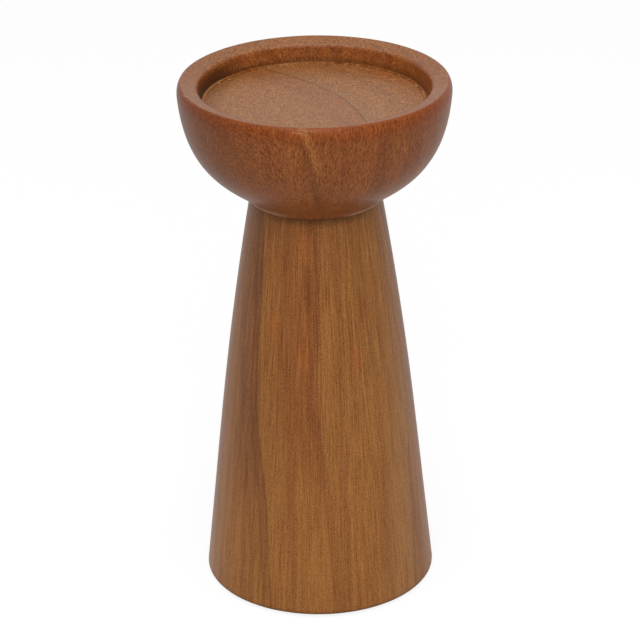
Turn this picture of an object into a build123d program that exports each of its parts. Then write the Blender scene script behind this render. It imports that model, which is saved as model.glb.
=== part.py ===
import os
from math import atan, cos, degrees, radians, sin, tan

from build123d import *

# A turned wooden pillar candle stand: a tapered column on felt pads carries a shallow
# candle bowl, and a fluted dowel glued into both keeps them on one axis.
# Millimetres, +Z up, origin on the table at the centre of the base.

# Felt pads
pad_count = 4
pad_diameter = 14.0
pad_thickness = 1.0
pad_edge_inset = 4.5
pad_edge_radius = 0.3

# Tapered column: a straight cone, in degrees off the vertical, that bends in towards the neck
column_height = 156.8
base_diameter = 89.3
base_slope = 6.1
straight_height = 62.5
base_edge_radius = 1.1
neck_diameter = 49.8
neck_edge_radius = 0.4

# Bowl foot: sits a little inside the neck's edge, and its own edge is rounded into the outside
foot_inset = 0.3
foot_edge_radius = 1.2

# Bowl outside: leaves the foot at a slope off the horizontal and ends under the lip leaning out a
# little, both in degrees
bowl_diameter = 102.0
bowl_height = 45.8
foot_slope = 53.0
foot_curve_reach = 9.6
wall_lean = 4.5
wall_curve_reach = 31.3

# Bowl lip: part of an ellipse turns the wall over at the outer edge, and the top then falls, in
# degrees, towards a softened inner edge
lip_width = 7.5
lip_edge_width = 1.7
lip_edge_height = 4.0
lip_fall = 17.0
lip_inner_radius = 2.0

# Candle recess: drafted wall, in degrees off the vertical, and a flat floor with the narrow
# raised ring that the cutter left beside the wall
recess_depth = 8.15
recess_draft = 14.0
floor_ring_width = 1.4
floor_ring_rise = 0.4

# Joining dowel and its glued holes
dowel_diameter = 16.0
dowel_in_column = 30.0
dowel_in_bowl = 22.0
dowel_end_chamfer = 1.5
flute_count = 12
flute_radius = 0.7
glue_gap = 0.1
hole_end_gap = 1.0

# Places worked out from the sizes above
column_foot_z = pad_thickness
neck_z = column_foot_z + column_height
crest_z = neck_z + bowl_height
widest_z = crest_z - lip_edge_height
floor_z = crest_z - recess_depth
ring_top_z = floor_z + floor_ring_rise
base_radius = base_diameter / 2
neck_radius = neck_diameter / 2
seat_radius = neck_radius - foot_inset
bowl_radius = bowl_diameter / 2
mouth_radius = bowl_radius - lip_width
dowel_hole_radius = dowel_diameter / 2 + glue_gap
pad_circle_radius = base_radius - pad_edge_inset - pad_diameter / 2

os.makedirs("parts", exist_ok=True)

# Felt pads, evenly spaced just inside the edge of the base
pad_places = PolarLocations(pad_circle_radius, pad_count).locations
for number, place in enumerate(pad_places, start=1):
    with BuildPart() as felt_pad:
        with BuildSketch(Plane(place)):
            Circle(pad_diameter / 2)
        extrude(amount=pad_thickness)
        fillet(felt_pad.edges().group_by(Axis.Z)[0], pad_edge_radius)
    felt_pad.part.label = f"felt_pad_{number}"
    export_step(felt_pad.part, f"parts/felt_pad_{number}.step")

# Tapered column, turned with softened edges and bored for the dowel
base_corner = Vector(base_radius, column_foot_z)
neck_corner = Vector(neck_radius, neck_z)
knee = base_corner + Vector(-tan(radians(base_slope)), 1) * straight_height
with BuildPart() as tapered_column:
    with BuildSketch(Plane.XZ) as column_profile:
        with BuildLine():
            cone_side = Line(base_corner, knee)
            TangentArc(knee, neck_corner, tangent=cone_side % 1)
            Polyline(neck_corner, (0, neck_z), (0, column_foot_z), base_corner)
        make_face()
        fillet(column_profile.vertices().sort_by_distance(base_corner)[0], base_edge_radius)
        fillet(column_profile.vertices().sort_by_distance(neck_corner)[0], neck_edge_radius)
    revolve(axis=Axis.Z)
    with Locations((0, 0, neck_z)):
        Hole(dowel_hole_radius, depth=dowel_in_column + hole_end_gap)
tapered_column.part.label = "tapered_column"
export_step(tapered_column.part, "parts/tapered_column.step")

# Candle bowl, turned in one piece: foot, swelling outside, lip, recess and dowel hole
foot_direction = Vector(cos(radians(foot_slope)), sin(radians(foot_slope)))
wall_direction = Vector(sin(radians(wall_lean)), cos(radians(wall_lean)))
lip_grade = tan(radians(lip_fall))
edge_aspect = lip_edge_height / lip_edge_width
edge_start = degrees(atan(tan(radians(wall_lean)) * edge_aspect))
edge_end = 90 + degrees(atan(lip_grade / edge_aspect))
with BuildPart() as candle_bowl:
    with BuildSketch(Plane.XZ) as bowl_profile:
        with BuildLine():
            seat = Line((0, neck_z), (seat_radius, neck_z))
            foot_edge = JernArc(seat @ 1, (1, 0), foot_edge_radius, foot_slope)
            underside_start = foot_edge @ 1
            lip_edge = EllipticalCenterArc(
                (bowl_radius - lip_edge_width, widest_z),
                lip_edge_width,
                lip_edge_height,
                start_angle=-edge_start,
                arc_size=edge_start + edge_end,
            )
            wall_top = lip_edge @ 0
            Bezier(
                underside_start,
                underside_start + foot_direction * foot_curve_reach,
                wall_top - wall_direction * wall_curve_reach,
                wall_top,
            )
            lip_end = lip_edge @ 1
            lip_corner = Vector(mouth_radius, lip_end.Y - lip_grade * (lip_end.X - mouth_radius))
            wall_foot_radius = mouth_radius - (lip_corner.Y - ring_top_z) * tan(radians(recess_draft))
            Line(lip_end, lip_corner)
            Polyline(
                lip_corner,
                (wall_foot_radius, ring_top_z),
                (wall_foot_radius - floor_ring_width, ring_top_z),
                (wall_foot_radius - floor_ring_width, floor_z),
                (0, floor_z),
                seat @ 0,
            )
        make_face()
        fillet(bowl_profile.vertices().sort_by_distance(lip_corner)[0], lip_inner_radius)
    revolve(axis=Axis.Z)
    with Locations(Plane((0, 0, neck_z), z_dir=(0, 0, -1))):
        Hole(dowel_hole_radius, depth=dowel_in_bowl + hole_end_gap)
candle_bowl.part.label = "candle_bowl"
export_step(candle_bowl.part, "parts/candle_bowl.step")

# Joining dowel, with glue flutes along its side and chamfered ends
dowel_length = dowel_in_column + dowel_in_bowl
with BuildPart() as joining_dowel:
    with BuildSketch(Plane.XY.offset(neck_z - dowel_in_column)):
        Circle(dowel_diameter / 2)
    extrude(amount=dowel_length)
    chamfer(joining_dowel.edges().filter_by(GeomType.CIRCLE), dowel_end_chamfer)
    with BuildSketch(Plane.XY.offset(neck_z - dowel_in_column)):
        with PolarLocations(dowel_diameter / 2, flute_count):
            Circle(flute_radius)
    extrude(amount=dowel_length, mode=Mode.SUBTRACT)
joining_dowel.part.label = "joining_dowel"
export_step(joining_dowel.part, "parts/joining_dowel.step")
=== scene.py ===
from math import acos, atan2, cos, pi, radians, sin, tan

import bpy
import numpy as np
from mathutils import Matrix, Vector, noise


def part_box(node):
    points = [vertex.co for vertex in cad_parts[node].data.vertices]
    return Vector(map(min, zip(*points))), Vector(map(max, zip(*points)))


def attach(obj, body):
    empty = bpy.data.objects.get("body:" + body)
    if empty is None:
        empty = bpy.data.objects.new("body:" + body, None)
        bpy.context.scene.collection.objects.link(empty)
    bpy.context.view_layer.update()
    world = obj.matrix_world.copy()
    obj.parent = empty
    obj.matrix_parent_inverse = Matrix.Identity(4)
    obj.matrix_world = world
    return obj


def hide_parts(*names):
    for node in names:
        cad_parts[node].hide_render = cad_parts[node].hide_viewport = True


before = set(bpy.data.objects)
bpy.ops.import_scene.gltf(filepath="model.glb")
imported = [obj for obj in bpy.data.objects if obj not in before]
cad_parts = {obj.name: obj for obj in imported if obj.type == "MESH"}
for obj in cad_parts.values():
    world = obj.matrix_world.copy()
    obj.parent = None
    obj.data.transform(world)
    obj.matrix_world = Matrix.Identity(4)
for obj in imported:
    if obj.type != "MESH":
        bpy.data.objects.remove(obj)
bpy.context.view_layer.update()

# Felt pads
# Four discs of dark brown pressed wool felt, die-cut from sheet and stuck under the base by their
# own adhesive. The cut leaves a soft rim, and the wool stands up a little all over.
pad_nodes = [name for name in sorted(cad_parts) if name.startswith("felt_pad")]
pad_rim_softness = 0.00035
pad_segments = 72
# the nap: its depth in metres, and how close its tufts stand per metre on and between the pads
nap_depth = 0.00006
nap_fineness = 2600
nap_difference = 900
wool_relief = 0.0002
# loose fibres at the rim: how many, their size, how deep they root and how far they curl
loose_fibres = 90
loose_length = 0.0011
loose_radius = 0.000022
loose_steps = 5
loose_root = 0.0003
loose_margin = 0.0002
loose_curl = 1.2
felt_dark = (38, 28, 22)
felt_light = (84, 66, 52)


def srgb(colour):
    """A colour as read from a colour chart, 0 to 255, as the light it gives back."""
    return tuple(((c / 255 + 0.055) / 1.055) ** 2.4 for c in colour) + (1.0,)


def run(start, end, step):
    """Evenly spaced outline points from start up to, and without, the end."""
    start, end = np.array(start, float), np.array(end, float)
    count = max(1, round(np.linalg.norm(end - start) / step))
    return [start + (end - start) * i / count for i in range(count)]


def arc(centre, radius, first, last, count):
    """Outline points on an arc, angles in radians, both ends included."""
    angles = np.linspace(first, last, count)
    return [np.array(centre) + radius * np.array((cos(a), sin(a))) for a in angles]


def rounded(before, corner, after, radius, count=9):
    """Outline points of the rounding of a corner between two straight sides."""
    before, corner, after = (np.array(point, float) for point in (before, corner, after))
    back = (before - corner) / np.linalg.norm(before - corner)
    ahead = (after - corner) / np.linalg.norm(after - corner)
    half = acos(back @ ahead) / 2
    middle = (back + ahead) / np.linalg.norm(back + ahead)
    centre = corner + middle * radius / sin(half)
    spokes = [corner + side * radius / tan(half) - centre for side in (back, ahead)]
    first, last = (atan2(spoke[1], spoke[0]) for spoke in spokes)
    turn_by = (last - first + pi) % (2 * pi) - pi
    return arc(centre, radius, first, first + turn_by, count)


def turned(outline, segments):
    """Points, their outward directions and the faces of a piece turned about Z. The outline holds
    (radius, height) from the axis below the piece to the axis above it."""
    outline = np.array(outline)
    along = np.gradient(outline, axis=0)
    outward = np.stack((along[:, 1], -along[:, 0]), 1)
    outward /= np.linalg.norm(outward, axis=1, keepdims=True)
    angles = np.arange(segments) * 2 * pi / segments
    spokes = np.stack((np.cos(angles), np.sin(angles)), 1)

    def swept(profile):
        flat = profile[1:-1, None, :1] * spokes[None]
        height = np.broadcast_to(profile[1:-1, None, 1:], flat.shape[:2] + (1,))
        rings = np.concatenate((flat, height), 2).reshape(-1, 3)
        first, last = (((0, 0, profile[end, 1]),) for end in (0, -1))
        return np.concatenate((first, rings, last))

    rings = len(outline) - 2
    last = rings * segments + 1
    here = np.arange(1, last).reshape(rings, segments)
    beside = np.roll(here, -1, 1)
    faces = np.stack((here[:-1], beside[:-1], beside[1:], here[1:]), 2).reshape(-1, 4).tolist()
    faces += [[0, b, a] for a, b in zip(here[0].tolist(), beside[0].tolist())]
    faces += [[a, b, last] for a, b in zip(here[-1].tolist(), beside[-1].tolist())]
    return swept(outline), swept(outward), faces


def make_piece(name, points, faces, sharp_above=radians(35)):
    """A smooth-shaded object that keeps its sharp edges."""
    mesh = bpy.data.meshes.new(name)
    mesh.from_pydata(np.asarray(points).tolist(), [], faces)
    mesh.validate()
    piece = bpy.data.objects.new(name, mesh)
    bpy.context.scene.collection.objects.link(piece)
    mesh.shade_smooth()
    mesh.set_sharp_from_angle(angle=sharp_above)
    return piece


class Field:
    """A value that varies over a surface: a shader socket that ordinary arithmetic works on."""

    def __init__(self, socket):
        self.socket = socket

    def node(self, kind, operation=None):
        node = self.socket.node.id_data.nodes.new(kind)
        if operation:
            node.operation = operation
        return node

    def join(self, operation, *others):
        node = self.node("ShaderNodeMath", operation)
        for place, value in zip(node.inputs, (self, *others)):
            feed(place, value)
        return Field(node.outputs[0])

    def vector(self, operation, other, output="Vector"):
        node = self.node("ShaderNodeVectorMath", operation)
        feed(node.inputs[0], self)
        feed(node.inputs[1], other)
        return Field(node.outputs[output])

    def __add__(self, other):
        return self.join("ADD", other)

    def __sub__(self, other):
        return self.join("SUBTRACT", other)

    def __mul__(self, other):
        return self.join("MULTIPLY", other)

    def __neg__(self):
        return self * -1.0

    def __abs__(self):
        return self.join("ABSOLUTE")

    def __invert__(self):
        """1 less the value: everywhere that a mask isn't."""
        return -self + 1.0

    def rising(self, low, high):
        """0 below low, 1 above high and a smooth rise between; high may be below low."""
        node = self.node("ShaderNodeMapRange")
        node.interpolation_type = "SMOOTHSTEP"
        feed(node.inputs["Value"], self)
        bounds = ("From Min", "From Max", "To Min", "To Max")
        values = (low, high, 0.0, 1.0) if low < high else (high, low, 1.0, 0.0)
        for bound, value in zip(bounds, values):
            node.inputs[bound].default_value = value
        return Field(node.outputs["Result"])


def feed(place, value):
    """Links a varying value to a shader input, or sets a plain one on it."""
    if isinstance(value, Field):
        place.node.id_data.links.new(value.socket, place)
    else:
        place.default_value = value


def new_material(name):
    """An empty material: its surface shader, and the place on the piece in millimetres."""
    material = bpy.data.materials.new(name)
    material.use_nodes = True
    tree = material.node_tree
    shader = next(node for node in tree.nodes if node.type == "BSDF_PRINCIPLED")
    place = Field(tree.nodes.new("ShaderNodeTexCoord").outputs["Object"])
    return material, shader, place.vector("MULTIPLY", (1000, 1000, 1000))


def cloudy(place, size, stretch=1.0, detail=2.0, roughness=0.5, shift=0.0):
    """Soft random variation from 0 to 1 in lumps of about that size, longer upward if stretched."""
    node = place.node("ShaderNodeTexNoise")
    node.noise_dimensions = "4D"
    feed(node.inputs["Vector"], place.vector("MULTIPLY", (1, 1, 1 / stretch)))
    node.inputs["W"].default_value = shift
    node.inputs["Scale"].default_value = 1 / size
    node.inputs["Detail"].default_value = detail
    node.inputs["Roughness"].default_value = roughness
    return Field(node.outputs["Fac"])


def mixed(amount, first, second):
    """A colour or a place between two; the amount varies over the surface."""
    node = amount.node("ShaderNodeMix")
    node.data_type = "RGBA"
    feed(node.inputs["Factor"], amount)
    feed(node.inputs["A"], first)
    feed(node.inputs["B"], second)
    return Field(node.outputs["Result"])


def relief(shader, height, depth):
    """Fine relief on the surface, from a height of 0 to 1 and its depth in metres."""
    bump = height.node("ShaderNodeBump")
    bump.inputs["Distance"].default_value = depth
    feed(bump.inputs["Height"], height)
    feed(shader.inputs["Normal"], Field(bump.outputs["Normal"]))


felt_material, shader, place = new_material("pressed_felt")
wool = cloudy(place, 0.5, detail=5, roughness=0.75)
matted = cloudy(place, 3.0)
wool_tone = (wool + matted - 0.55).rising(0.1, 0.9)
feed(shader.inputs["Base Color"], mixed(wool_tone, srgb(felt_dark), srgb(felt_light)))
shader.inputs["Roughness"].default_value = 0.95
shader.inputs["Sheen Weight"].default_value = 0.35
relief(shader, wool, wool_relief)

shuffle = np.random.default_rng(7)
for pad_node in pad_nodes:
    low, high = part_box(pad_node)
    centre = (low + high) / 2
    pad_radius = (high.x - low.x) / 2
    rim_top, rim_foot = (pad_radius, high.z), (pad_radius, low.z)
    pad_outline = [
        *run((0, low.z), (pad_radius - 2 * pad_rim_softness, low.z), 0.0004),
        *rounded((0, low.z), rim_foot, rim_top, pad_rim_softness),
        *rounded(rim_foot, rim_top, (0, high.z), pad_rim_softness / 2),
        *run((pad_radius - pad_rim_softness, high.z), (0, high.z), 0.002),
        (0, high.z),
    ]
    points, outward, faces = turned(pad_outline, pad_segments)
    for point, direction in zip(points, outward):
        if point[2] < high.z:
            nap = 0.5 + 0.5 * noise.noise(Vector(point) * nap_fineness + Vector(centre) * nap_difference)
            point -= direction * nap_depth * nap
    points = (points + np.array((centre.x, centre.y, 0))).tolist()
    for _ in range(loose_fibres):
        heading = shuffle.uniform(0, 2 * pi)
        curl = shuffle.uniform(-loose_curl, loose_curl)
        fibre_z = shuffle.uniform(low.z + loose_margin, high.z - loose_margin)
        tip = np.array((centre.x, centre.y, fibre_z))
        tip[:2] += (pad_radius - loose_root) * np.array((cos(heading), sin(heading)))
        first = len(points)
        for step in range(loose_steps):
            bend = heading + curl * step / loose_steps
            tip[:2] += loose_length / loose_steps * np.array((cos(bend), sin(bend)))
            across = np.array((-sin(bend), cos(bend), 0)) * loose_radius
            lift = np.array((0, 0, loose_radius))
            points += [(tip + across).tolist(), (tip - across).tolist(), (tip + lift).tolist()]
        for step in range(loose_steps - 1):
            base = first + 3 * step
            for a, b in ((0, 1), (1, 2), (2, 0)):
                faces.append([base + a, base + 3 + a, base + 3 + b, base + b])
        faces += [[first, first + 1, first + 2], [first + 3 * loose_steps - i for i in (1, 2, 3)]]
    felt_pad = make_piece(pad_node + "_wool", points, faces)
    felt_pad.data.materials.append(felt_material)
    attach(felt_pad, "root")
    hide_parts(pad_node)

# Tapered column
# Turned between centres from one golden brown hardwood blank whose grain runs upright: a straight
# cone that bends in to the neck, softened at both ends, bored for the dowel, sanded and lacquered.
column_low, column_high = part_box("tapered_column")
base_radius = 0.04465
base_slope = radians(6.1)
straight_height = 0.0625
base_edge_radius = 0.0011
neck_radius = 0.0249
neck_edge_radius = 0.0004
dowel_hole_radius = 0.0081
dowel_hole_depth = 0.031
column_segments = 480

column_z, neck_z = column_low.z, column_high.z
base_corner = np.array((base_radius, column_z))
neck_corner = np.array((neck_radius, neck_z))
up_the_cone = np.array((-sin(base_slope), cos(base_slope)))
into_the_cone = np.array((-cos(base_slope), -sin(base_slope)))
knee = base_corner + up_the_cone * straight_height / cos(base_slope)
bend_chord = neck_corner - knee
bend_radius = (bend_chord @ bend_chord) / (2 * bend_chord @ into_the_cone)
bend_centre = knee + into_the_cone * bend_radius
bend_start, bend_end = (atan2(*(end - bend_centre)[::-1]) for end in (knee, neck_corner))
base_edge = rounded((0, column_z), base_corner, knee, base_edge_radius, count=12)
neck_side = arc(bend_centre, bend_radius, bend_start, bend_end, 96)
neck_edge = rounded(neck_side[-3], neck_corner, (0, neck_z), neck_edge_radius)
hole_floor_z = neck_z - dowel_hole_depth
column_outline = [
    *run((0, column_z), base_edge[0], 0.003),
    *base_edge,
    *run(base_edge[-1], knee, 0.001)[1:],
    *neck_side[:-1],
    *neck_edge,
    *run(neck_edge[-1], (dowel_hole_radius, neck_z), 0.004)[1:],
    *run((dowel_hole_radius, neck_z), (dowel_hole_radius, hole_floor_z), 0.006),
    *run((dowel_hole_radius, hole_floor_z), (0, hole_floor_z), 0.004),
    (0, hole_floor_z),
]
# a run of lacquer and a nick at the base edge: where, how wide and how deep in mm
base_marks = (((44.0, -4.4, 5.0), 1.5, -0.35), ((26.45, -35.7, 2.7), 1.5, 0.35))
# waves of the sanding: how high and over what distance they rise in metres, and how many per metre
sanding_waves = 0.00003
waves_rise_over = 0.006
waves_around = 130
waves_upward = 52


def sanded(points, outward, least_radius):
    """The slight waves that hand sanding leaves, fading out towards a radius that stays true."""
    for point, direction in zip(points, outward):
        share = (np.hypot(*point[:2]) - least_radius) / waves_rise_over
        if share > 0:
            x, y, z = point
            wave = noise.noise(Vector((x * waves_around, y * waves_around, z * waves_upward)))
            point += direction * sanding_waves * wave * min(share, 1)


def dented(points, outward, start, end, radius, depth):
    """Presses a soft dent along a line into the points, or with a depth below 0 raises a bump."""
    start, end = np.array(start) / 1000, np.array(end) / 1000
    span = end - start
    share = np.clip((points - start) @ span / max(span @ span, 1e-12), 0, 1)
    gap = np.linalg.norm(points - start - share[:, None] * span, axis=1) * 1000 / radius
    points -= outward * (depth / 1000 * np.clip(1 - gap**2, 0, None) ** 2)[:, None]


points, outward, faces = turned(column_outline, column_segments)
sanded(points, outward, neck_radius)
for spot, width, dent_depth in base_marks:
    dented(points, outward, spot, spot, width, dent_depth)
tapered_column = make_piece("turned_column", points, faces)

column_gold = (155, 102, 50)
column_brown = (134, 83, 40)
column_red = (122, 62, 27)
column_plum = (110, 63, 38)
column_orange = (168, 92, 42)
column_pale = (170, 125, 82)
# growth rings, in mm: the pith's place, how far the rings swing in at mid height, the coloured zones
# with their starting radius, reach (inward below 0), strength, colour and the height from which they
# fade in upward, and the thin lines with their radius, strength and that height
column_pith = (22.0, -28.0, 0.0)
ring_swing = 2.4
middle_ring = 20.8
right_ring = 15.8
zone_fade = 65
line_fade = 40
column_zones = (
    (middle_ring, -9.0, 0.3, column_gold, 25),
    (middle_ring, 26.0, 0.5, column_red, 25),
    (middle_ring, 4.5, 0.15, column_plum, 40),
    (42.6, 14.0, 0.6, column_plum, 5),
    (69.0, 8.0, 0.5, column_red, 25),
)
column_lines = (
    (middle_ring, 0.5, 40),
    (42.6, 1.2, -60),
    (44.9, 0.7, -20),
    (48.6, 0.7, 20),
    (58.0, 0.4, 20),
    (69.0, 0.6, 20),
)
# patches of brighter fibres: from, to, half their width in mm and their strength
column_patches = (
    ((-16.6, -26.7, 119.0), (-16.9, -27.0, 113.0), 4.0, 0.4),
    ((-5.1, -32.4, 109.0), (-5.1, -32.9, 102.0), 3.5, 0.3),
    ((14.7, -29.7, 106.0), (14.9, -30.2, 100.0), 3.0, 0.35),
    ((-4.0, -25.6, 150.0), (-4.0, -26.5, 143.0), 3.0, 0.3),
)
ripple_length = 1.15
thread_red = (104, 52, 25)
lacquer_ior = 1.24
lacquer_roughness = 0.4
lacquer_relief = 0.00004


def coordinate(place, axis):
    """One coordinate of a place."""
    node = place.node("ShaderNodeSeparateXYZ")
    feed(node.inputs[0], place)
    return Field(node.outputs[axis])


def from_axis(place, centre=(0.0, 0.0, 0.0)):
    """Distance from an upright axis."""
    return place.vector("MULTIPLY", (1, 1, 0)).vector("DISTANCE", centre, "Value")


def scaled(colour, amount):
    """A colour made lighter or darker."""
    node = colour.node("ShaderNodeVectorMath", "SCALE")
    feed(node.inputs["Vector"], colour)
    feed(node.inputs["Scale"], amount)
    return Field(node.outputs["Vector"])


def darkened(colour, share):
    """A colour with a share of its light taken away; the share varies over the surface."""
    return scaled(colour, ~share)


def moved(place, direction, amount):
    """A place moved along a direction; the amount varies over the surface."""
    along = place.vector("MULTIPLY", (0, 0, 0)).vector("ADD", direction)
    return place.vector("ADD", scaled(along, amount))


def unrolled(place, girth, upward):
    """A place put on a cylinder of one radius, at a height that follows the surface upward."""
    around = place.vector("MULTIPLY", (1, 1, 0)).vector("NORMALIZE", (0, 0, 0))
    return moved(around.vector("MULTIPLY", (girth, girth, 0)), (0, 0, 1), upward)


def beside(place, start, end):
    """Distance from the straight line between two places."""
    span = Vector(end) - Vector(start)
    share = place.vector("SUBTRACT", start).vector("DOT_PRODUCT", span / span.length_squared, "Value")
    share = share.join("MAXIMUM", 0.0).join("MINIMUM", 1.0)
    return moved(place, -span, share).vector("DISTANCE", start, "Value")


def lightened(colour, light):
    """A colour with so much more or less plain light in it, which tells most in its weak parts."""
    plain = colour.vector("MULTIPLY", (0, 0, 0)).vector("ADD", (1, 1, 1))
    return colour.vector("MULTIPLY", moved(plain, (1.0, 1.4, 1.9), light.join("MAXIMUM", -0.45)))


class Grain:
    """One blank of wood: how its colour and surface vary over a place. Its fibres run up the place
    they are drawn on, which may lean with the surface."""

    def __init__(self, place, drawn, pith, fibre_width, fibre_stretch, speck_size, shift):
        self.patch = cloudy(place, 30, stretch=3, shift=shift) - 0.5
        self.streak = cloudy(drawn, 2.6, stretch=40, shift=shift) - 0.5
        self.tint = cloudy(drawn, 3.4, stretch=14, shift=shift + 5) - 0.5
        self.strand = cloudy(drawn, 0.55, stretch=40, shift=shift) - 0.5
        self.fibre = cloudy(drawn, fibre_width, stretch=fibre_stretch, detail=1, shift=shift) - 0.5
        dash_stretch = fibre_stretch / 5
        self.dash = cloudy(drawn, fibre_width, stretch=dash_stretch, detail=1, shift=shift + 2) - 0.5
        self.speck = cloudy(place, speck_size, stretch=1.5, roughness=0.7, shift=shift) - 0.5
        self.pore = cloudy(drawn, 0.4, stretch=8, detail=1, shift=shift + 3).rising(0.62, 0.72)
        self.thread = cloudy(drawn, 0.45, stretch=50, detail=1, shift=shift + 8).rising(0.6, 0.72)
        wander = cloudy(place, 26, stretch=8, detail=1, shift=shift) - 0.5
        self.ring = from_axis(place, pith) + wander * 0.8 + self.strand * 1.2
        bands = place.node("ShaderNodeTexNoise")
        bands.noise_dimensions = "1D"
        feed(bands.inputs["W"], self.ring)
        bands.inputs["Scale"].default_value = 0.16
        bands.inputs["Detail"].default_value = 3.0
        self.bands = Field(bands.outputs["Fac"]) - 0.5

    def fine(self, strand, fibre, dash, speck, pore):
        """How its strands, fibres, dashes, specks and pores lighten or darken it, each so strong."""
        light = self.strand * strand + self.fibre * fibre + self.dash * dash
        return light + self.speck * speck - self.pore * pore

    def lacquered(self, shader, ior):
        """A satin lacquer: the pores stay open, and the fibres show in the gloss."""
        feed(shader.inputs["Roughness"], self.fibre * 0.2 + self.pore * 0.1 + lacquer_roughness)
        feed(shader.inputs["IOR"], ior)
        relief(shader, self.fibre * 0.5 + self.speck * 0.3 - self.pore * 0.6, lacquer_relief)


column_material, shader, place = new_material("golden_brown_wood")
across, depth, height = (coordinate(place, axis) for axis in "XYZ")

# the fibres run up the side, and the underside shows them end on
on_side = height.rising(column_z * 1000 + 0.05, (column_z + base_edge_radius) * 1000)
drawn = mixed(on_side, place, unrolled(place, base_radius * 1000, height))
grain = Grain(place, drawn, column_pith, fibre_width=0.25, fibre_stretch=60, speck_size=0.4, shift=0.0)
tone = grain.bands * 0.6 + grain.streak * 1.0 + grain.patch * 0.5
colour = mixed(tone.rising(-0.3, 0.3), srgb(column_brown), srgb(column_gold))
colour = mixed(grain.tint.rising(0.04, 0.24) * 0.4, colour, srgb(column_red))
ring = grain.ring - height.rising(40, 84) * height.rising(140, 84) * ring_swing
for zone_radius, reach, strength, zone_colour, lowest in column_zones:
    outside = (ring - zone_radius) * (1.0 if reach > 0 else -1.0)
    zone = outside.rising(-0.7, 1.5) * outside.rising(abs(reach), 1.0)
    zone = zone * height.rising(lowest, lowest + zone_fade)
    colour = mixed(zone * strength, colour, srgb(zone_colour))
for line_radius, strength, lowest in column_lines:
    outside = ring - line_radius
    line = outside.rising(-0.3, 0.1) * outside.rising(1.1, 0.2) * grain.streak.rising(-0.35, 0.0)
    line = line * (height.rising(lowest, lowest + line_fade) * 0.7 + 0.3)
    colour = darkened(colour, line * (0.24 * strength))

# one more ring, with paler wood inside it, shows only on the right
outside = ring - right_ring
colour = mixed(outside.rising(0.6, -0.6) * across.rising(22, 32) * 0.25, colour, srgb(column_pale))
colour = darkened(colour, abs(outside).rising(0.8, 0.2) * across.rising(20, 26) * 0.2)
for start, end, width, strength in column_patches:
    patch = (beside(place, start, end) + grain.strand * 2.0).rising(width, width * 0.2)
    colour = mixed(patch * strength, colour, srgb(column_orange))

# close-set ripples in the fibres beside the middle ring, painted shade at the front just under the bowl
# where the bowl shades it, and the side a little darker higher up
outside = abs(ring - middle_ring)
ripple = ((height + outside * 0.9 + grain.patch * 2.0) * (2 * pi / ripple_length)).join("SINE")
ripple = ripple * outside.rising(4.6, 1.5) * (height.rising(40, 90) * 0.15 + 0.05)
ripple = ripple * cloudy(drawn, 1.6, stretch=3, shift=6.0).rising(0.35, 0.6)
colour = mixed(grain.thread * 0.35, colour, srgb(thread_red))
# painted shade: the column's front darkened just under the bowl
colour = darkened(colour, height.rising(154.5, 157.3) * depth.rising(-12, -22) * 0.4)
colour = scaled(colour, height.rising(25, 90) * -0.07 + 1.04)
contrast = height.rising(20, 150) * 0.6 + 0.65
fine = grain.fine(strand=0.25, fibre=contrast * 1.5, dash=contrast * 0.4, speck=1.7, pore=0.08)
colour = lightened(colour, fine + ripple)

# painted shade along the bottom edge, where the base meets the floor
colour = darkened(colour, height.rising(3.2, 1.2) * 0.42)
feed(shader.inputs["Base Color"], colour)
grain.lacquered(shader, lacquer_ior)
tapered_column.data.materials.append(column_material)
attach(tapered_column, "root")
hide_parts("tapered_column")

# Joining dowel
# A bought fluted hardwood dowel, left raw, glued into the bored column and bowl. It is hidden once
# the stand is together.
dowel_pale = (214, 178, 132)
dowel_shade = (186, 146, 100)
dowel_pith = (30.0, 12.0, 0.0)
dowel_relief = 0.00005
dowel_material, shader, place = new_material("raw_dowel_wood")
grain = Grain(place, place, dowel_pith, fibre_width=0.3, fibre_stretch=20, speck_size=0.3, shift=4.0)
colour = mixed(grain.streak.rising(-0.2, 0.2), srgb(dowel_shade), srgb(dowel_pale))
fine = grain.fine(strand=0.3, fibre=0.6, dash=0.3, speck=0.3, pore=0.2)
feed(shader.inputs["Base Color"], lightened(colour, fine))
feed(shader.inputs["Roughness"], grain.fibre * 0.2 + 0.6)
relief(shader, grain.fibre, dowel_relief)
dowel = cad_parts["joining_dowel"]
dowel.data.materials.clear()
dowel.data.materials.append(dowel_material)

# Candle bowl
# Turned from a second, redder blank: a rounded foot edge, a swelling outside, a broad lip that
# falls inward, and a shallow recess whose cutter left a thin raised ring round the floor.
crest_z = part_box("candle_bowl")[1].z
bowl_radius = 0.051
seat_radius = 0.0246
foot_edge_radius = 0.0012
foot_slope = radians(53)
foot_curve_reach = 0.0096
wall_lean = radians(4.5)
wall_curve_reach = 0.0313
lip_width = 0.0075
lip_edge_width = 0.0017
lip_edge_height = 0.0040
lip_fall = radians(17)
lip_inner_radius = 0.0020
recess_depth = 0.00815
recess_draft = radians(14)
floor_ring_width = 0.0014
floor_ring_rise = 0.0004
bowl_hole_depth = 0.023
bowl_segments = 440

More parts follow.
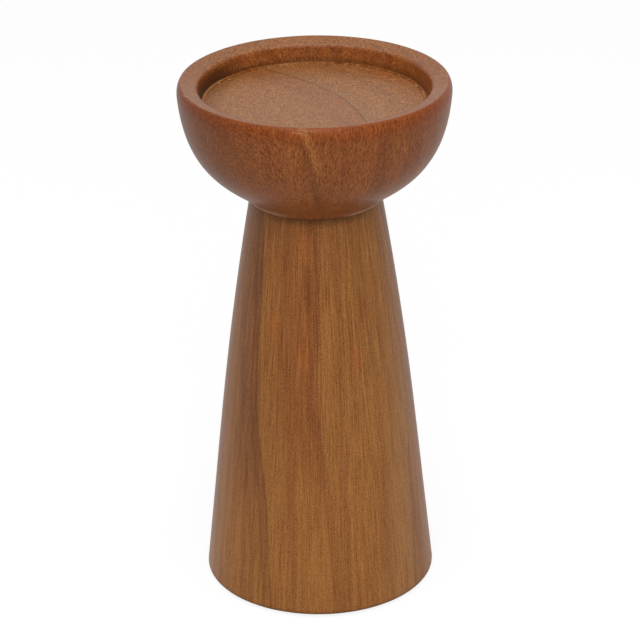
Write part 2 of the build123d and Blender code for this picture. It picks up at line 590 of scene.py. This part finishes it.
widest_z = crest_z - lip_edge_height
floor_z = crest_z - recess_depth
ring_top_z = floor_z + floor_ring_rise
mouth_radius = bowl_radius - lip_width
hole_top_z = neck_z + bowl_hole_depth
foot_centre = (seat_radius, neck_z + foot_edge_radius)
foot_edge = arc(foot_centre, foot_edge_radius, -pi / 2, foot_slope - pi / 2, 9)
edge_centre = np.array((bowl_radius - lip_edge_width, widest_z))
edge_size = np.array((lip_edge_width, lip_edge_height))
edge_start = -atan2(lip_edge_height * tan(wall_lean), lip_edge_width)
edge_end = pi / 2 + atan2(lip_edge_width * tan(lip_fall), lip_edge_height)
lip_edge = [edge_centre + edge_size * spoke for spoke in arc((0, 0), 1, edge_start, edge_end, 28)]
wall_top, lip_end = lip_edge[0], lip_edge[-1]
curve_poles = (
    foot_edge[-1],
    foot_edge[-1] + foot_curve_reach * np.array((cos(foot_slope), sin(foot_slope))),
    wall_top - wall_curve_reach * np.array((sin(wall_lean), cos(wall_lean))),
    wall_top,
)
swell = [
    (1 - t) ** 3 * curve_poles[0]
    + 3 * t * (1 - t) ** 2 * curve_poles[1]
    + 3 * t**2 * (1 - t) * curve_poles[2]
    + t**3 * curve_poles[3]
    for t in np.linspace(0, 1, 80)
]
lip_corner = np.array((mouth_radius, lip_end[1] - (lip_end[0] - mouth_radius) * tan(lip_fall)))
wall_foot_radius = mouth_radius - (lip_corner[1] - ring_top_z) * tan(recess_draft)
ring_inner_radius = wall_foot_radius - floor_ring_width
wall_foot = (wall_foot_radius, ring_top_z)
lip_inner = rounded(lip_end, lip_corner, wall_foot, lip_inner_radius, count=14)
bowl_outline = [
    *run((0, hole_top_z), (dowel_hole_radius, hole_top_z), 0.004),
    *run((dowel_hole_radius, hole_top_z), (dowel_hole_radius, neck_z), 0.006),
    *run((dowel_hole_radius, neck_z), foot_edge[0], 0.004),
    *foot_edge[:-1],
    *swell[:-1],
    *lip_edge[:-1],
    *run(lip_end, lip_inner[0], 0.0006),
    *lip_inner,
    *run(lip_inner[-1], wall_foot, 0.0006)[1:],
    *run(wall_foot, (ring_inner_radius, ring_top_z), 0.00035),
    *run((ring_inner_radius, ring_top_z), (ring_inner_radius, floor_z), 0.0002),
    *run((ring_inner_radius, floor_z), (0, floor_z), 0.0009),
    (0, floor_z),
]
# a knock on the lip, a flat on its front edge, torn grain on the floor and two chips off its ring:
# from, to, how wide and how deep in mm
bowl_dents = (
    ((-47.8, -14.1, 203.3), (-45.1, -16.9, 203.3), 0.9, 0.1),
    ((-7.9, -49.9, 202.1), (-3.95, -50.4, 201.9), 0.9, 0.08),
    ((28.9, 22.0, 195.45), (30.4, 22.0, 195.45), 1.3, 0.25),
    ((40.05, 8.0, 195.85), (40.65, 4.3, 195.85), 1.0, 0.25),
    ((-35.9, 19.3, 195.7), (-35.5, 19.9, 195.7), 1.2, 0.25),
)
points, outward, faces = turned(bowl_outline, bowl_segments)
sanded(points, outward, seat_radius)
for start, end, width, dent_depth in bowl_dents:
    dented(points, outward, start, end, width, dent_depth)
candle_bowl = make_piece("turned_bowl", points, faces)

bowl_pith = (-67.6, -38.2, 0.0)
floor_line_radius = 87.6
bowl_orange = (143, 82, 38)
bowl_brown = (119, 65, 30)
bowl_red = (110, 55, 29)
bowl_tan = (146, 102, 58)
bowl_gold = (156, 98, 50)
bowl_edge = (134, 64, 22)
bowl_pale = (190, 150, 100)
bowl_corner_stain_and_shade = (70, 46, 20)
bowl_crease_sheen = (190, 158, 130)
bowl_dark = (66, 36, 20)
# what turning and handling left on it: from, to, half its width in mm, its strength and colour
bowl_marks = (
    ((-47.8, -14.1, 203.3), (-46.75, -15.9, 203.6), 0.5, 0.35, bowl_pale),
    ((-46.75, -15.9, 203.6), (-45.1, -16.9, 203.3), 0.4, 0.25, bowl_pale),
    ((-7.9, -49.9, 202.1), (-3.95, -50.4, 201.9), 0.3, 0.3, bowl_pale),
    ((-5.4, -49.2, 203.5), (-3.1, -50.5, 201.8), 1.2, 0.4, bowl_tan),
    ((5.35, 43.4, 201.7), (8.0, 42.1, 199.3), 0.8, 0.4, bowl_dark),
    ((22.2, 40.9, 202.8), (29.5, 31.4, 200.4), 0.9, 0.35, bowl_dark),
    ((25.5, 28.0, 195.45), (32.5, 18.5, 195.45), 3.2, 0.3, bowl_edge),
    ((28.6, 22.0, 195.45), (30.7, 22.0, 195.45), 0.9, 0.35, bowl_pale),
    ((29.1, 22.0, 195.45), (30.3, 22.0, 195.45), 0.5, 0.6, bowl_edge),
    ((-26.6, 32.6, 196.05), (-26.2, 32.9, 196.05), 1.0, 0.6, bowl_dark),
    ((8.6, 40.2, 195.85), (10.2, 39.9, 195.85), 0.9, 0.6, bowl_dark),
    ((40.05, 8.0, 195.85), (40.65, 4.3, 195.85), 0.5, 0.5, bowl_pale),
    ((-35.9, 19.1, 195.66), (-35.5, 19.6, 195.66), 0.6, 0.6, bowl_pale),
    ((-32.3, 23.7, 195.45), (-32.1, 23.9, 195.45), 0.5, 0.6, bowl_pale),
    ((-23.7, -1.8, 195.45), (-22.9, -2.5, 195.45), 0.6, 0.4, bowl_dark),
    ((32.4, -2.4, 195.45), (32.6, -2.2, 195.45), 0.5, 0.7, bowl_pale),
    ((-38.9, -31.9, 192.3), (-38.5, -32.75, 193.8), 0.3, 0.35, bowl_pale),
    ((21.7, -42.5, 182.2), (18.5, -38.9, 173.8), 0.7, 0.25, bowl_dark),
    ((5.3, -50.7, 200.6), (7.4, -50.3, 196.3), 0.6, 0.22, bowl_dark),
    ((8.2, -50.3, 201.2), (11.1, -49.7, 197.3), 0.6, 0.25, bowl_dark),
    ((11.7, -49.6, 201.4), (14.9, -48.7, 196.8), 0.6, 0.25, bowl_dark),
)

# the parts of its surface, which run softly into each other; heights and radii in mm
bowl_material, shader, place = new_material("red_brown_wood")
across, depth, height = (coordinate(place, axis) for axis in "XYZ")
radius = from_axis(place)
crest, rim, mouth = crest_z * 1000, bowl_radius * 1000, mouth_radius * 1000
floor_rim = ring_inner_radius * 1000
in_cup = height.rising(crest - 9.6, crest - 8.6) * radius.rising(mouth + 2.0, mouth + 1.0)
on_floor = in_cup * radius.rising(floor_rim + 0.9, floor_rim - 1.1)
on_wall = in_cup * radius.rising(floor_rim + 0.6, floor_rim + 1.4) * height.rising(crest - 2.0, crest - 3.0)
on_lip = height.rising(crest - 2.4, crest - 1.6) * radius.rising(rim - 0.8, rim - 1.8)
on_edge = height.rising(crest - 8.6, crest - 2.6) * radius.rising(rim - 1.8, rim - 1.2)
on_outside = ~in_cup * ~on_lip

# the fibres follow the outside, and lean over towards the left of the blank
drawn = mixed(on_outside, place, unrolled(place, 45, height * 0.67 + radius * 0.75))
drawn = moved(drawn, (1, 0, 0), across.rising(-4, -44) * (height - 180.0) * 0.8)
grain = Grain(place, drawn, bowl_pith, fibre_width=0.26, fibre_stretch=5, speck_size=0.3, shift=11.0)
tone = grain.bands * (on_floor * 0.8 + 0.5) + (grain.streak * 0.8 + grain.patch * 0.7) * ~on_floor
colour = mixed(tone.rising(-0.5, 0.5), srgb(bowl_brown), srgb(bowl_orange))
colour = mixed(grain.tint.rising(0.05, 0.25) * ~on_floor * 0.3, colour, srgb(bowl_red))
colour = mixed(on_floor * 0.4 + on_lip * (depth.rising(0, 40) * 0.2 + 0.15), colour, srgb(bowl_tan))
colour = mixed(on_edge * 0.75, colour, srgb(bowl_edge))

# one growth ring shows on the recess floor, redder inside and paler outside
outside = grain.ring - floor_line_radius
redder = outside.rising(0.5, -0.5) * outside.rising(-16, 0)
paler = outside.rising(-0.5, 0.5) * outside.rising(16, 0)
colour = mixed(redder * on_floor * 0.25, colour, srgb(bowl_red))
colour = mixed(paler * on_floor * 0.25, colour, srgb(bowl_tan))
colour = darkened(colour, abs(outside).rising(0.4, 0.1) * on_floor * 0.6)

# a dark and a golden streak climb the front side by side, and bend away to the left under the lip
climb = ((height - 159.5) * (1 / 40)).join("MAXIMUM", 0.0).join("POWER", 2.6)
aside = across + climb * 6.4 + grain.strand * 2.0 - 0.7
on_front = depth.rising(-6, -14) * on_outside
dark_streak = abs(aside).rising(2.2, 0.3) * height.rising(162, 172) * height.rising(202, 196)
gold_streak = abs(aside - 3.2).rising(2.4, 0.4) * height.rising(176, 192)
colour = darkened(colour, dark_streak * on_front * 0.24)
colour = mixed(gold_streak * on_front * 0.5, colour, srgb(bowl_gold))

# painted sheen along the foot's crease at the sides, and painted shade in the crease at the front and back
in_crease = height.rising(161.4, 158.6)
colour = mixed(in_crease * abs(across).rising(7, 16) * 0.35, colour, srgb(bowl_crease_sheen))
colour = darkened(colour, height.rising(159.6, 158.2) * abs(across).rising(16, 7) * 0.3)

# stain with painted shade in the recess corner, and the raised ring painted pale in places: flecks rubbed
# pale, and a painted highlight along its inner edge at the back and on its top at the left
in_corner = in_cup * height.rising(198.5, 196)
colour = mixed(radius.rising(41.0, 41.9) * in_corner * 0.5, colour, srgb(bowl_corner_stain_and_shade))
flecks = cloudy(place, 2.0, shift=21.0).rising(0.52, 0.62) * across.rising(5, 9) * depth.rising(-2, 6)
# painted highlight on the ring's edge at the back and its top at the left, with flecks of wear on the right
ring_wear_and_highlight_line = flecks * 1.3 + depth.rising(34, 37) * across.rising(8, 5) * 0.7
ring_wear_and_highlight = abs(radius - 40.65).rising(0.3, 0.08) * ring_wear_and_highlight_line
ring_wear_and_highlight = ring_wear_and_highlight + abs(radius - 41.6).rising(0.6, 0.25) * across.rising(-33, -36) * 0.7
colour = mixed(ring_wear_and_highlight * in_corner * 0.45, colour, srgb(bowl_pale))

# painted shade: darker to the left, most of all on the recess wall and on the floor beside it, and on the
# outside. Also the floor a little darker, more so towards the back, the lip too and more so on its left,
# and the front edge. The marks lie over it all
shade = on_wall * across.rising(-24, -38) * height.rising(201.5, 198.5) * 0.65
shade = shade + on_floor * radius.rising(33, 40) * across.rising(-22, -36) * 0.25
shade = shade + on_floor * (depth.rising(18, 40) * 0.08 + 0.09)
shade = shade + on_lip * (across.rising(-20, -42) * 0.05 + 0.12)
shade = shade + on_edge * 0.06 + across.rising(-8, -46) * on_outside * 0.23
colour = darkened(colour, shade)
for start, end, width, strength, mark_colour in bowl_marks:
    mark = (beside(place, start, end) + grain.speck * width).rising(width, width * 0.3)
    colour = mixed(mark * strength, colour, srgb(mark_colour))
speckled = on_floor * 5.8 + on_lip * 4.0 + 1.6
fine = grain.fine(strand=0.2, fibre=1.9, dash=1.0, speck=speckled, pore=0.1)
threads = grain.thread * ~in_cup * 0.12
feed(shader.inputs["Base Color"], lightened(colour, fine + threads))

# the lacquer lies thicker on the floor and the lip than on the recess wall
thicker = on_floor * depth.rising(38, 8) * 0.1 + on_lip * 0.12 - on_wall * 0.08
grain.lacquered(shader, thicker + lacquer_ior)
candle_bowl.data.materials.append(bowl_material)
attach(candle_bowl, "root")
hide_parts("candle_bowl")

# Floor and light
# A seamless white studio floor under a dim even sky, with softboxes overhead and in front. The floor
# and the sky are white to the camera and in reflections, and the floor keeps a faint shadow.
floor_half = 6.0
floor_bounce = 0.64
floor_glow = 0.86
floor_shade = 0.16
sky_level = 0.36
# each softbox: its place, its width in metres and its power in watts
softboxes = (((0, -0.2, 1.6), 1.2, 12.0), ((0, -1.23, 1.15), 0.8, 12.6))
softbox_aim = Vector((0, 0, 0.12))


def looked_at(tree):
    """1 where the camera or a reflection looks at a surface, 0 where light only bounces off it."""
    rays = tree.nodes.new("ShaderNodeLightPath")
    seen = Field(rays.outputs["Is Camera Ray"])
    for kind in ("Is Glossy Ray", "Is Transmission Ray"):
        seen = seen.join("MAXIMUM", Field(rays.outputs[kind]))
    return seen


corners = [(-floor_half, -floor_half, 0), (floor_half, -floor_half, 0)]
corners += [(floor_half, floor_half, 0), (-floor_half, floor_half, 0)]
floor_mesh = bpy.data.meshes.new("studio_floor")
floor_mesh.from_pydata(corners, [], [(0, 1, 2, 3)])
studio_floor = bpy.data.objects.new("studio_floor", floor_mesh)
bpy.context.scene.collection.objects.link(studio_floor)
floor_material = bpy.data.materials.new("white_paper")
floor_material.use_nodes = True
tree = floor_material.node_tree
tree.nodes.clear()
paper = tree.nodes.new("ShaderNodeBsdfDiffuse")
paper.inputs["Color"].default_value = (floor_bounce,) * 3 + (1,)
shaded = tree.nodes.new("ShaderNodeBsdfDiffuse")
shaded.inputs["Color"].default_value = (floor_shade,) * 3 + (1,)
glow = tree.nodes.new("ShaderNodeEmission")
glow.inputs["Strength"].default_value = floor_glow
white = tree.nodes.new("ShaderNodeAddShader")
tree.links.new(shaded.outputs[0], white.inputs[0])
tree.links.new(glow.outputs[0], white.inputs[1])
choice = tree.nodes.new("ShaderNodeMixShader")
feed(choice.inputs[0], looked_at(tree))
tree.links.new(paper.outputs[0], choice.inputs[1])
tree.links.new(white.outputs[0], choice.inputs[2])
output = tree.nodes.new("ShaderNodeOutputMaterial")
tree.links.new(choice.outputs[0], output.inputs["Surface"])
floor_mesh.materials.append(floor_material)

sky = bpy.data.worlds.new("light_tent")
sky.use_nodes = True
background = sky.node_tree.nodes["Background"]
background.inputs["Color"].default_value = (1, 1, 1, 1)
feed(background.inputs["Strength"], looked_at(sky.node_tree) * (1 - sky_level) + sky_level)
bpy.context.scene.world = sky
for softbox_place, width, watts in softboxes:
    softbox_data = bpy.data.lights.new("softbox", "AREA")
    softbox_data.shape = "SQUARE"
    softbox_data.size = width
    softbox_data.energy = watts
    softbox = bpy.data.objects.new("softbox", softbox_data)
    softbox.location = softbox_place
    softbox.rotation_euler = (softbox_aim - softbox.location).to_track_quat("-Z", "Y").to_euler()
    bpy.context.scene.collection.objects.link(softbox)
bpy.context.scene.view_settings.view_transform = "Standard"

# Camera
# It looks down at the stand from the front, at the height, distance and slight roll of the photo.
camera_aim = Vector((0.001012, 0, 0.10574))
camera_distance = 1.07687
camera_elevation = radians(25.0043)
camera_roll = radians(-0.6916)
camera_lens = 157.889
camera_sensor = 36
camera_data = bpy.data.cameras.new("camera")
camera_data.lens = camera_lens
camera_data.sensor_width = camera_sensor
camera = bpy.data.objects.new("camera", camera_data)
back = Vector((0, -cos(camera_elevation), sin(camera_elevation)))
level = Vector((1, 0, 0))
upward = back.cross(level)
camera_right = level * cos(camera_roll) + upward * sin(camera_roll)
camera_up = upward * cos(camera_roll) - level * sin(camera_roll)
facing = Matrix((camera_right, camera_up, back)).transposed().to_4x4()
camera.matrix_world = Matrix.Translation(camera_aim + back * camera_distance) @ facing
bpy.context.scene.collection.objects.link(camera)
bpy.context.scene.camera = camera
